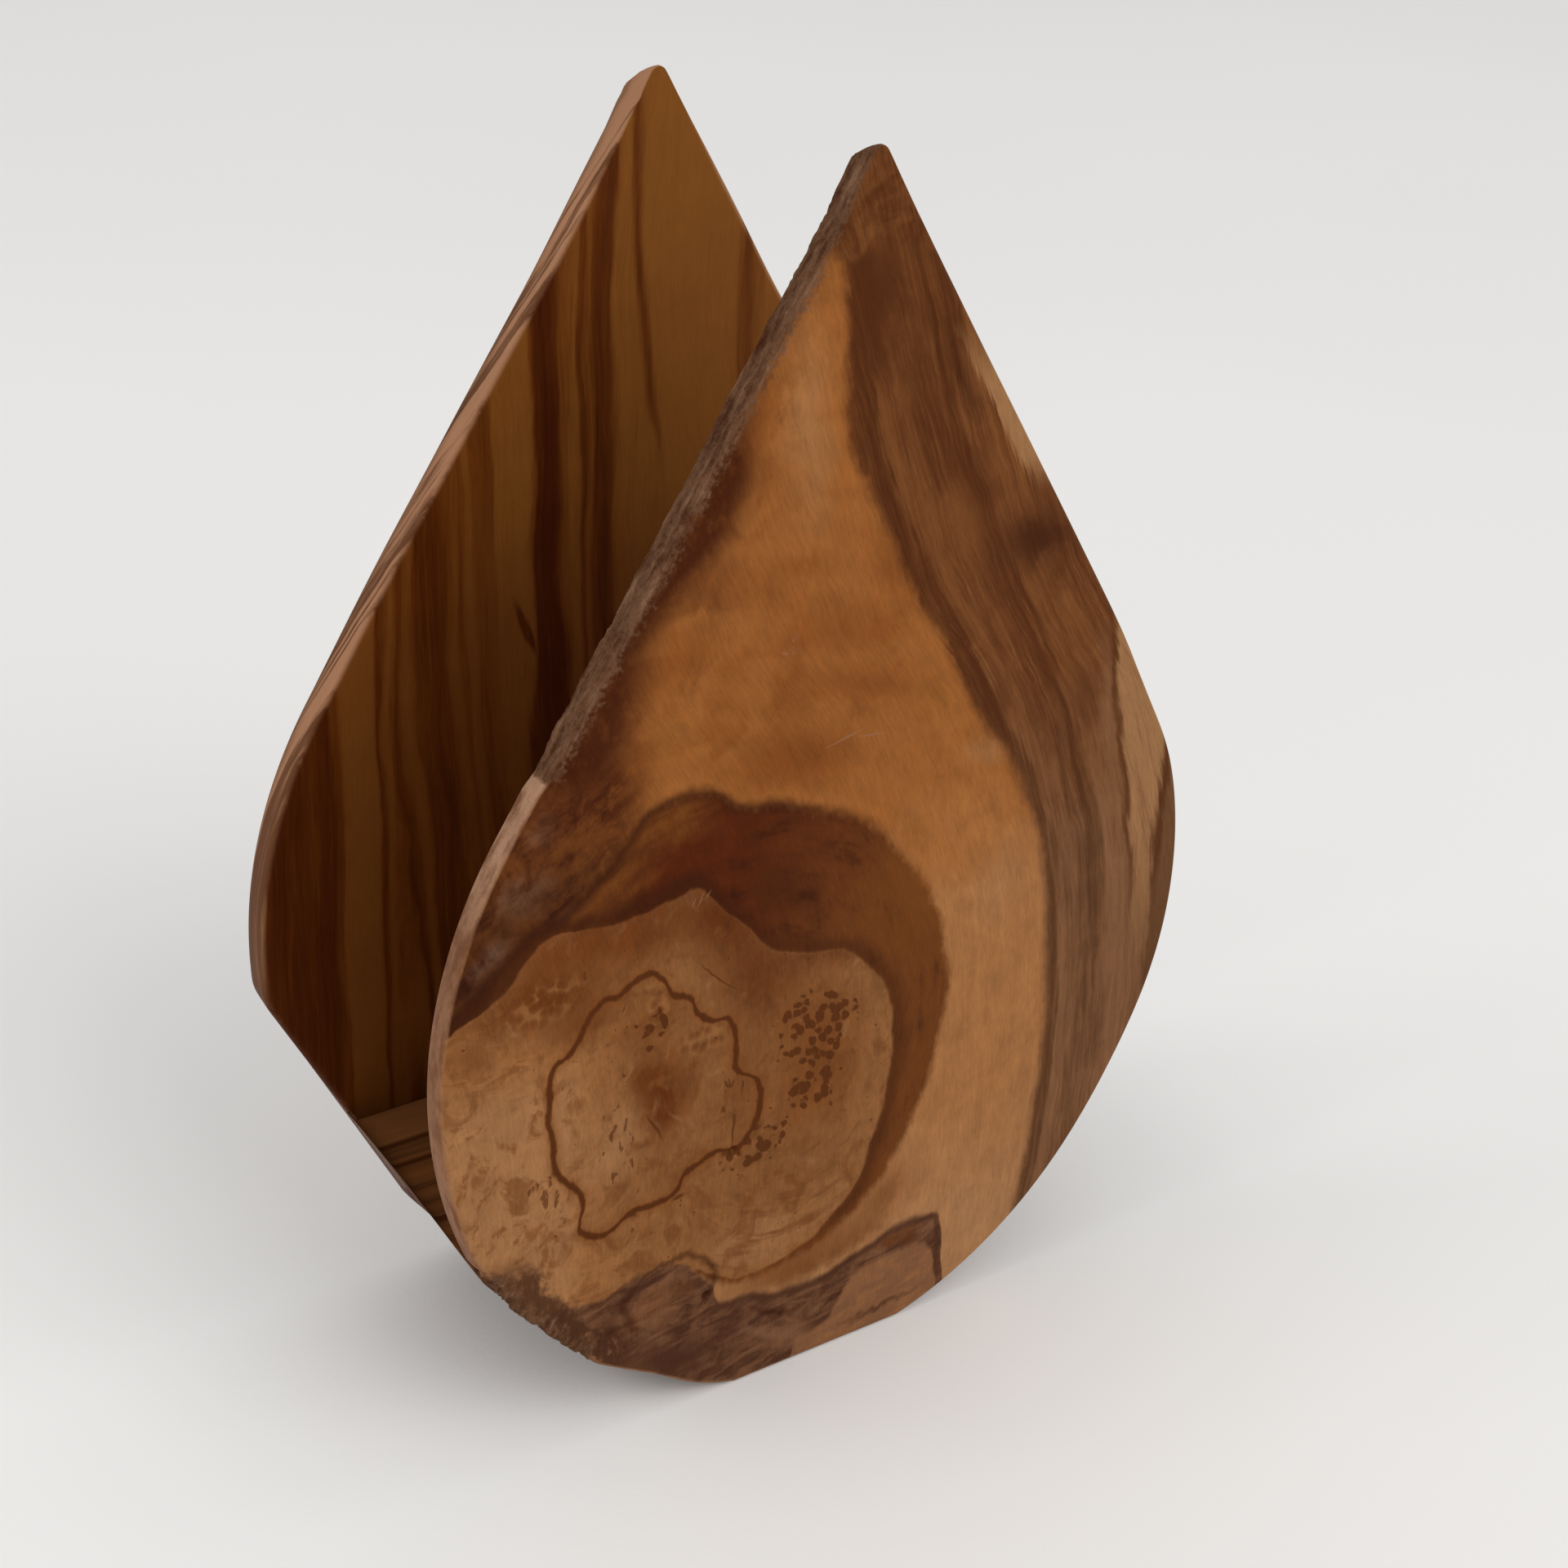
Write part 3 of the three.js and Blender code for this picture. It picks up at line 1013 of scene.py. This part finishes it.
FOOT_TINTS = [
    (-24, 16, 7.5, 4.5, 10, HEART_PALE, 0.40),
    (-31, 14, 2.5, 5, 20, BITTER, 0.75),
    (-21.5, 7, 13, 4.5, -12, FOOT_DEEP, 1.00),
    (-9, 6, 6.5, 1.1, -32, ROSE, 0.45),
    (-7.5, 8.2, 6.5, 0.7, -30, BITTER, 0.70),
    (2, 6.4, 4, 0.6, 42, BITTER, 0.65),
    (11.5, 12, 7, 1.8, 4, MID_BROWN, 0.80),
    (9, 2.8, 9, 0.9, 4, FOOT_DEEP, 0.80),
    (-5, 4, 7, 3, -10, FOOT_PALE, 0.90),
]


def heart_and_sap(fig, colour):
    """Heartwood on the right, and the pale sapwood beyond it."""
    paint = fig.paint
    stretched = fig.heart * paint.ramp(fig.z, 55, 95, 1.25, 0.8)
    bands = paint.curve(stretched + fig.streaks * 1.2, HEART_BANDS)
    streaks = bands + fig.streaks * 0.55 + fig.fibres * 0.55 + fig.mottle * 0.25
    high_up = paint.mix(HEART_DEEP, HEART_PALE, paint.ramp(streaks, -0.1, 1.0))
    low_down = paint.mix(HEART_LOW_DEEP, HEART_LOW_PALE, paint.ramp(streaks, -0.1, 1.0))
    right = paint.mix(low_down, high_up, paint.ramp(fig.z + fig.cloud * 10, 55, 88))
    right = tinted(paint, fig.clouded, right, HEART_TINTS)
    flecks = paint.ramp(fig.fibres + fig.fray * 0.5, 0.25, 0.6) * paint.ramp(fig.z, 104, 94)
    right = paint.mix(right, ROSE, flecks * 0.22)
    amount = paint.step(fig.heart + fig.fray * 0.5 + fig.fibres * 1.0 + fig.mottle * 1.2, 2.2)
    colour = paint.mix(colour, right, amount)

    sap = fig.x - paint.curve(fig.z, SAPWOOD_LEFT) + fig.fibres * 1.0
    sap_colour = paint.mix(SAPWOOD, HEART_LOW_PALE, paint.ramp(fig.streaks + fig.fibres, -0.1, 0.7))
    sap_amount = paint.step(sap, 1.2) * paint.ramp(fig.z, 34, 62) * paint.ramp(fig.z, 95, 90)
    colour = paint.mix(colour, sap_colour, sap_amount * 0.9)
    sap_line = paint.stroke(sap + 0.3, 0.25, 0.6) * paint.ramp(fig.z, 40, 60)
    colour = paint.mix(colour, HEART_DEEP, sap_line * paint.ramp(fig.z, 92, 86) * 0.7)
    side = paint.x * math.cos(SHOULDER) + (paint.z - BELLY_Z) * math.sin(SHOULDER)
    top_sap = paint.step(side - BELLY_RADIUS + 2.3 + fig.fibres * 1.5, 0.8)
    top_sap = top_sap * paint.ramp(fig.z, 107, 113) * paint.ramp(fig.z, 130, 121)
    colour = paint.mix(colour, SAPWOOD, top_sap * paint.step(fig.x, 2) * 0.9)
    beyond = paint.step(fig.x - 49.6 + fig.fibres * 0.6, 0.8) * paint.ramp(fig.z, 76, 70)
    colour = paint.mix(colour, HEART_LOW_DEEP, beyond * 0.75)
    line = paint.stroke(fig.x - OUTER_LINE + fig.fibres, 0.4, 0.8)
    line = line * paint.ramp(fig.z, 44, 56) * paint.ramp(fig.z, 80, 76)
    return paint.mix(colour, HEART_DEEP, line * 0.8)


OUTER_LINE = 49.8  # x of the dark line in the sapwood
HEART_BANDS = [  # distance right of the heartwood's left side, and how pale the wood is there
    (0, 0.14), (2.5, 0.18), (4, 0.58), (6, 0.54), (8, 0.32), (11, 0.28), (13, 0.60),
    (17, 0.60), (20, 0.45), (30, 0.50),
]
HEART_TINTS = [
    (25.5, 102, 8.8, 6.2, -30, BITTER, 0.88),
    (15.5, 110.5, 5, 9, 30, HEART_DEEP, 0.60),
    (13.5, 122, 1.8, 10, 27, BITTER, 0.60),
    (1, 134, 6, 16, 12, HEART_DEEP, 0.90),
    (14.5, 106, 4, 9, 30, HEART_PALE, 0.60),
    (35.5, 79, 3.5, 9, 15, HEART_DEEP, 0.50),
    (39.5, 78, 2.5, 14, 12, HEART_LOW_PALE, 0.70),
    (30, 96.5, 3.5, 4.5, -30, HEART_DEEP, 0.60),
    (44.5, 44, 4, 18, 4, HEART_LOW_PALE, 0.60),
    (7, 102, 5, 8, 30, HEART_DEEP, 0.45),
    (21.5, 82.5, 4, 6, 30, HEART_DEEP, 0.50),
    (15.5, 91, 4, 5, 30, HEART_DEEP, 0.50),
    (44, 27, 4, 10, -35, HEART_LOW_PALE, 0.50),
]


def stained_side(fig, colour):
    """Dark stain along the live edge, the brown tip, and dark wood by the lower bark."""
    paint = fig.paint
    stain_edge = paint.curve(fig.z, STAIN_RIGHT) - fig.x + fig.mottle * 3.0 + fig.fray * 0.5
    stain = paint.step(stain_edge, 6.0) * paint.ramp(fig.z, 82, 88) * paint.ramp(fig.z, 139, 121)
    blotted = paint.mix(STAIN, MID_BROWN, paint.ramp(fig.mottle + fig.fray * 0.5, -0.1, 0.7))
    colour = paint.mix(colour, blotted, stain * 0.95)
    tip = paint.step(fig.z - 139.5 + fig.mottle * 3.0, 3.5)
    brown = paint.mix(HEART_DEEP, HEART_PALE, paint.ramp(fig.mottle + fig.fibres * 0.6, -0.4, 0.5))
    colour = paint.mix(colour, brown, tip * 0.9)
    lumps = paint.noise(paint.solid, 2.2, 3.0, 0.6)
    inward = BELLY_RADIUS - paint.polar(paint.x, paint.z, (0.0, BELLY_Z))[0]
    by_bark = paint.step(5.0 - inward + lumps * 3.0, 1.5) * paint.step(-29.0 - paint.x, 3.0)
    by_bark = by_bark * paint.ramp(paint.z, 31, 26)
    crumbly = paint.mix(BARK_DARK, FOOT_PALE, paint.ramp(lumps * 0.7 + fig.fray, 0.0, 0.5) * 0.8)
    return paint.mix(colour, crumbly, by_bark * 0.9)


def edges(fig, colour):
    """Sawn edges, paler and duller than the faces, and the rough live edge. Higher up, the left wall
    turns cream: pale sanded wood with painted light on it. A painted highlight runs along the left
    front arris.
    """
    paint = fig.paint
    edge = paint.attribute("edge")
    bark = paint.attribute("bark")
    on_left = paint.step(0.0 - paint.x, 4.0)
    wall = paint.ramp(edge, 0.90, 0.99) * on_left
    along = paint.x * math.sin(SHOULDER) + paint.z * math.cos(SHOULDER)
    sawn = paint.noise(paint.scaled(y=2.0, z=0.6), 3.2, 3.0, 0.6)
    dust = paint.mix(WALL_BROWN, ROSE, paint.ramp(sawn + fig.fray * 0.3, -0.35, 0.25))
    # Higher up the left wall turns cream: pale sanded wood, and painted light where the wall faces up.
    sanded_pale_and_lit = paint.ramp(paint.z, 70, 80) * paint.ramp(sawn, -0.5, 0.2)
    dust = paint.mix(dust, CREAM, sanded_pale_and_lit * 0.65)
    colour = paint.mix(colour, dust, wall * 0.90)
    # Painted highlight: a pale line along the eased left front arris, below the live edge.
    arris_highlight = paint.stroke(edge - 0.945, 0.012, 0.03) * on_left * paint.ramp(paint.z, 88, 84)
    colour = paint.mix(colour, SAPWOOD, arris_highlight * paint.ramp(fig.mottle, -0.3, 0.3) * 0.45)
    outward = paint.z * math.sin(SHOULDER) - paint.x * math.cos(SHOULDER)
    crust = paint.noise(paint.point(outward, paint.y, along * 0.17), 1.0, 5.0, 0.65)
    specks = paint.noise(paint.solid, 0.7, 3.0, 0.7)
    scaly = paint.mix(BARK_DARK, BARK_BROWN, paint.ramp(crust + specks * 0.5, -0.40, 0.15))
    scaly = paint.mix(scaly, BARK_PALE, paint.ramp(crust + specks * 0.3, 0.08, 0.45) * 0.6)
    scaly = paint.mix(scaly, STAIN, paint.ramp(fig.mottle + specks * 0.4, 0.1, 0.55) * 0.7)
    colour = paint.mix(colour, scaly, paint.ramp(bark + specks * 0.35, 0.62, 0.95))
    return colour, bark, crust + specks * 0.5


def figured_wood():
    """The front plate: a burl ringed by a dark crescent, with dark heartwood on the right."""
    paint = Paint("figured_wood_paint")
    fig = FrontFigure(paint)
    colour = pale_wood(fig)
    colour = left_brown(fig, colour)
    colour = crescent(fig, colour)
    colour, marks = burl_wood(fig, colour)
    colour = over_the_foot(fig, colour)
    colour = heart_and_sap(fig, colour)
    colour = stained_side(fig, colour)

    for scratch in PALE_SCRATCHES:
        colour = paint.mix(colour, ROSE, paint.spot(fig.place, *scratch) * 0.6)
    flecks = paint.ramp(paint.noise(paint.solid, 0.5, 1.0), 0.15, 0.5)
    worn = cluster(paint, fig.place, WORN_PATCHES)
    colour = paint.mix(colour, RUSSET, worn * 0.45)
    colour = paint.mix(colour, ROSE, worn * flecks * 0.6)

    colour, bark, crust = edges(fig, colour)
    colour = paint.shade(colour, 1.0 + fig.pores * 0.22)
    roughness = 0.50 + fig.mottle * 0.06 + fig.fray * 0.05 + bark * 0.35
    height = fig.fibres * 0.012 + fig.pores * 0.012 - marks * 0.05 + crust * bark * 0.30
    return paint.finish(colour, roughness, height)


# ---- figure of the back plate and the block ---------------------------------------------

STRIPES = [  # x across the back plate, and how pale the wood is there
    (-53, 0.20), (-50, 0.08), (-44, 0.12), (-42.2, 0.30), (-40.8, 0.78), (-37.4, 0.72),
    (-36.6, 0.14), (-35.6, 0.56), (-34.8, 0.14), (-33.6, 0.52), (-32.6, 0.18), (-31.2, 0.14),
    (-28.4, 0.28), (-27, 0.42), (-26, 0.24), (-25.2, 0.52), (-23.4, 0.30), (-20.8, 0.60),
    (-16.8, 0.70), (-15.5, 0.04), (-13.4, 0.08), (-12.2, 0.34), (-10.6, 0.56), (-9.8, 0.50),
    (-9.2, 0.16), (-8.3, 0.46), (-7.5, 0.16), (-5.4, 0.24), (-4.4, 0.64), (-2, 0.68), (9, 0.78),
    (12.5, 0.62), (13.6, 0.36), (15, 0.58), (19, 0.66), (22, 0.24), (25, 0.42),
    (27.5, 0.12), (31, 0.50), (36, 0.60), (38.5, 0.22), (42, 0.40), (46, 0.64), (53, 0.34),
]
STRIPE_LEAN = [  # height, and how far right the stripes have moved there
    (20, 5), (60, 2.6), (80, 1), (100, 0), (125, -0.4), (150, 1),
]
STRIPE_SLANT = 3.2  # how far the stripes slant sideways as they go through the plate
THIN_LINE = [  # height, and the x of a thin dark line there
    (95, 3), (105, 1.5), (110, 0.2), (120, -1), (130, -2.2), (140, -2.7), (150, -2.5),
]


def striped_wood():
    """The back plate: upright stripes of ochre and very dark brown."""
    paint = Paint("striped_wood_paint")
    slant = (paint.y - BACK_LOW.y) * STRIPE_SLANT
    sway = paint.noise(paint.scaled(x=0.5, z=0.6), 22.0, 2.0, 0.5)
    wobble = paint.noise(paint.scaled(z=0.16), 3.0, 3.0, 0.6)
    lean = paint.curve(paint.z, STRIPE_LEAN) * paint.ramp(paint.x, -36, -31)
    x = paint.x - lean + sway * 1.6 + wobble * 1.0 + slant
    pale = paint.curve(x, STRIPES)
    line = paint.x - paint.curve(paint.z, THIN_LINE) + wobble * 0.5 + slant
    pale = pale * (1.0 - paint.stroke(line, 0.2, 1.0) * paint.ramp(paint.z, 98, 112) * 0.65)

    # A dark fork where two stripes join.
    place = paint.point(paint.x + wobble, 0.0, paint.z)
    fork = paint.high(
        paint.spot(place, -14.0, 74.0, 3.6, 16.0, -8, 0.5),
        paint.spot(place, -17.5, 85.5, 0.9, 5.5, 22, 0.4),
    )
    pale = pale * (1.0 - fork * 0.85)

    fine = paint.noise(paint.point(x, paint.y, paint.z * 0.035), 0.45, 4.0, 0.65)
    broad = paint.noise(paint.point(x, paint.y, paint.z * 0.05), 1.8, 3.0, 0.6)
    pale = pale + fine * 0.22 + broad * 0.22 + 0.07
    colour = paint.mix(STRIPE_DARK, STRIPE_BROWN, paint.ramp(pale, 0.02, 0.45))
    colour = paint.mix(colour, OCHRE, paint.ramp(pale, 0.30, 0.85))
    rosy = paint.ramp(paint.z, 104, 84) * paint.ramp(pale, 0.2, 0.6)
    colour = paint.mix(colour, ROSY_STRIPE, rosy * 0.6)
    # Painted shade: the inner face darkens towards the bottom, where the front plate shades it.
    colour = paint.mix(colour, HEART_DEEP, paint.ramp(paint.z, 100, 66) * 0.22)

    # The sawn edge is dusty and paler on the inner side. Painted shade darkens it round the outer arris
    # and low down, where it faces down.
    on_edge = paint.ramp(paint.attribute("edge"), 0.86, 0.99)
    sawn = paint.mix(WALL_DEEP, SAWN_PALE, paint.ramp(pale + broad * 0.4, 0.12, 0.60))
    # Painted shade: the wall darkens towards the rounded outer arris.
    outer = paint.ramp(paint.y + broad * 1.2, BACK_LOW.y + 1.8, BACK_HIGH.y - 0.3)
    sawn = paint.mix(sawn, HEART_LOW_DEEP, outer * 0.60)
    # Painted shade on the low part of the wall, where it faces down.
    sawn = paint.mix(sawn, STRIPE_DARK, paint.ramp(paint.z, 49, 43) * 0.75)
    colour = paint.mix(colour, sawn, on_edge * 0.92)
    pores = paint.noise(paint.point(x, paint.y, paint.z * 0.10), 0.26, 2.0, 0.6)
    mottle = paint.noise(paint.solid, 6.0, 3.0, 0.5)
    colour = paint.shade(colour, 1.0 + pores * 0.12 + mottle * 0.12)
    roughness = 0.46 + mottle * 0.06 + pores * 0.04
    return paint.finish(colour, roughness, fine * 0.014 + pores * 0.010)


PITH = (58.0, -16.0)  # y and z of the middle of the block's log
BLOCK_SEAMS = (10.6, 6.3)  # y of the dark lines along its top


def block_wood():
    """The block: its log lay along X, so growth rings show as lines on top and arcs on the ends."""
    paint = Paint("block_wood_paint")
    sway = paint.noise(paint.scaled(x=0.2), 8.0, 3.0, 0.55)
    reach, _ = paint.polar(paint.y + sway * 1.2, paint.z, PITH)
    rings = paint.noise(paint.point(reach, paint.x * 0.012, 0.0), 2.6, 4.0, 0.7)
    thin = paint.noise(paint.point(reach, paint.x * 0.02, 5.0), 0.7, 3.0, 0.6)
    colour = paint.mix(HEART_LOW_DEEP, HEART_PALE, paint.ramp(rings + thin * 0.4, -0.35, 0.55))
    colour = paint.mix(colour, BITTER, paint.ramp(0.0 - rings - thin * 0.6, 0.12, 0.5) * 0.8)
    # Painted light: behind y 10.8, towards the back plate, the top is paler. In front of it, beside the
    # front plate, it stays darker as painted shade.
    lit_band = paint.step(paint.y - 10.8 + sway * 0.8, 0.9)
    pale = paint.mix(HEART_PALE, HEART_LOW_PALE, 0.2 + thin * 0.4)
    colour = paint.mix(colour, pale, lit_band * 0.85)
    for place_y in BLOCK_SEAMS:
        seam = paint.stroke(paint.y - place_y + sway * 0.8, 0.25, 0.6)
        colour = paint.mix(colour, BITTER, seam * 0.8)
    # Below its top the block is darkened: its end grain, and painted shade where the front plate shades
    # it.
    end_grain_and_shade = paint.step(BLOCK_HIGH.z - 0.5 - paint.z, 0.5)
    colour = paint.mix(colour, HEART_DEEP, end_grain_and_shade * 0.75)
    fibres = paint.noise(paint.scaled(x=0.05), 0.35, 3.0, 0.65)
    colour = paint.shade(colour, 1.0 + fibres * 0.16 + sway * 0.10)
    return paint.finish(colour, 0.50 + fibres * 0.08, fibres * 0.015)


def dried_glue():
    """Wood glue, amber and slightly glossy, with sanding dust in it."""
    paint = Paint("dried_glue_paint")
    dust = paint.noise(paint.solid, 1.4, 4.0, 0.65)
    colour = paint.mix(GLUE_AMBER, GLUE_PALE, paint.ramp(dust, -0.4, 0.4))
    return paint.finish(colour, 0.45 + dust * 0.1, dust * 0.03)


# ---- pieces -----------------------------------------------------------------------------


def dress(piece, material, node):
    """Gives a piece its material, attaches it to the root body, and hides the CAD part it replaces."""
    piece.data.materials.append(material)
    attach(piece, "root")
    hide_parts(node)


def build_holder():
    plate_outline = drop_outline(0.42)
    front = slab(
        "front_plate_wood", plate_outline, FRONT_LOW.y, FRONT_HIGH.y,
        easing=0.6, wear=front_wear, skirt=PLATE_SKIRT, step=0.4, reliefs=(figured_relief, hand_sanded),
        fall=0.35,
    )
    dress(front, figured_wood(), "front_plate")
    back = slab(
        "back_plate_wood", plate_outline, BACK_LOW.y, BACK_HIGH.y,
        easing=0.7, wear=back_wear, skirt=PLATE_SKIRT, step=0.6, reliefs=(hand_sanded, hand_sanded),
        fall=0.40,
    )
    dress(back, striped_wood(), "back_plate")
    block = slab(
        "base_block_wood", lower_outline(0.8, 0.0, 0.8), BLOCK_LOW.y, BLOCK_HIGH.y,
        easing=0.2, wear=block_wear, step=1.0,
    )
    dress(block, block_wood(), "base_block")
    glue = dried_glue()
    for node in ("glue_film_front", "glue_film_back"):
        low, high = box_mm(node)
        film = slab(
            node + "_bead", lower_outline(0.6, GLUE_INSET, 1.0), low.y, high.y,
            easing=0.05, wear=glue_wear, step=0.1,
        )
        dress(film, glue, node)


# ---- stage ------------------------------------------------------------------------------

FLOOR_HALF = 4.0  # metres
SENSOR = 36.0  # millimetres
LENS = 70.3
AZIMUTH = -37.5  # degrees: the camera stands to the left of the front
LOOK_DOWN = 25.5
ROLL = 2.5
EYE = Vector((-0.1954, -0.2651, 0.2256))


def floor():
    mesh = bpy.data.meshes.new("floor")
    corners = [(-1, -1), (1, -1), (1, 1), (-1, 1)]
    mesh.from_pydata([(x * FLOOR_HALF, y * FLOOR_HALF, 0) for x, y in corners], [], [(0, 1, 2, 3)])
    plane = bpy.data.objects.new("floor", mesh)
    bpy.context.collection.objects.link(plane)
    paint = Paint("pale_floor")
    cloud = paint.noise(paint.solid, 260.0, 2.0)
    colour = paint.mix(FLOOR_DULL, FLOOR_BRIGHT, paint.ramp(cloud, -0.5, 0.5))
    grain = paint.noise(paint.solid, 0.8, 2.0)
    plane.data.materials.append(paint.finish(colour, 0.75, grain * 0.01))


def camera():
    data = bpy.data.cameras.new("camera")
    data.sensor_width = SENSOR
    data.lens = LENS
    data.clip_start, data.clip_end = 0.01, 20.0
    eye = bpy.data.objects.new("camera", data)
    bpy.context.collection.objects.link(eye)
    azimuth, down = math.radians(AZIMUTH), math.radians(LOOK_DOWN)
    ahead = Vector((
        -math.sin(azimuth) * math.cos(down), math.cos(azimuth) * math.cos(down), -math.sin(down),
    ))
    eye.rotation_mode = "QUATERNION"
    roll = Quaternion((0, 0, 1), math.radians(ROLL))
    eye.rotation_quaternion = ahead.to_track_quat("-Z", "Y") @ roll
    eye.location = EYE
    bpy.context.scene.camera = eye


def softbox(name, place, size, power, colour):
    """A square lamp that faces the middle of the holder."""
    data = bpy.data.lights.new(name, "AREA")
    data.shape = "SQUARE"
    data.size = size
    data.energy = power
    data.color = colour
    lamp = bpy.data.objects.new(name, data)
    lamp.location = place
    aim = Vector((0, 0, HEIGHT * MM * 0.4)) - Vector(place)
    lamp.rotation_mode = "QUATERNION"
    lamp.rotation_quaternion = aim.to_track_quat("-Z", "Y")
    bpy.context.collection.objects.link(lamp)


def lighting():
    softbox("key", (0.25, -1.5, 1.15), 1.4, 13.0, (1.0, 0.985, 0.96))
    softbox("side", (-1.2, 0.2, 0.9), 0.8, 4.0, (1.0, 0.99, 0.97))
    world = bpy.data.worlds.new("studio")
    world.use_nodes = True
    sky = world.node_tree.nodes["Background"]
    sky.inputs["Color"].default_value = (1.0, 0.99, 0.98, 1.0)
    sky.inputs["Strength"].default_value = 0.65
    bpy.context.scene.world = world
    bpy.context.scene.view_settings.view_transform = "Standard"


camera()
lighting()
floor()
build_holder()
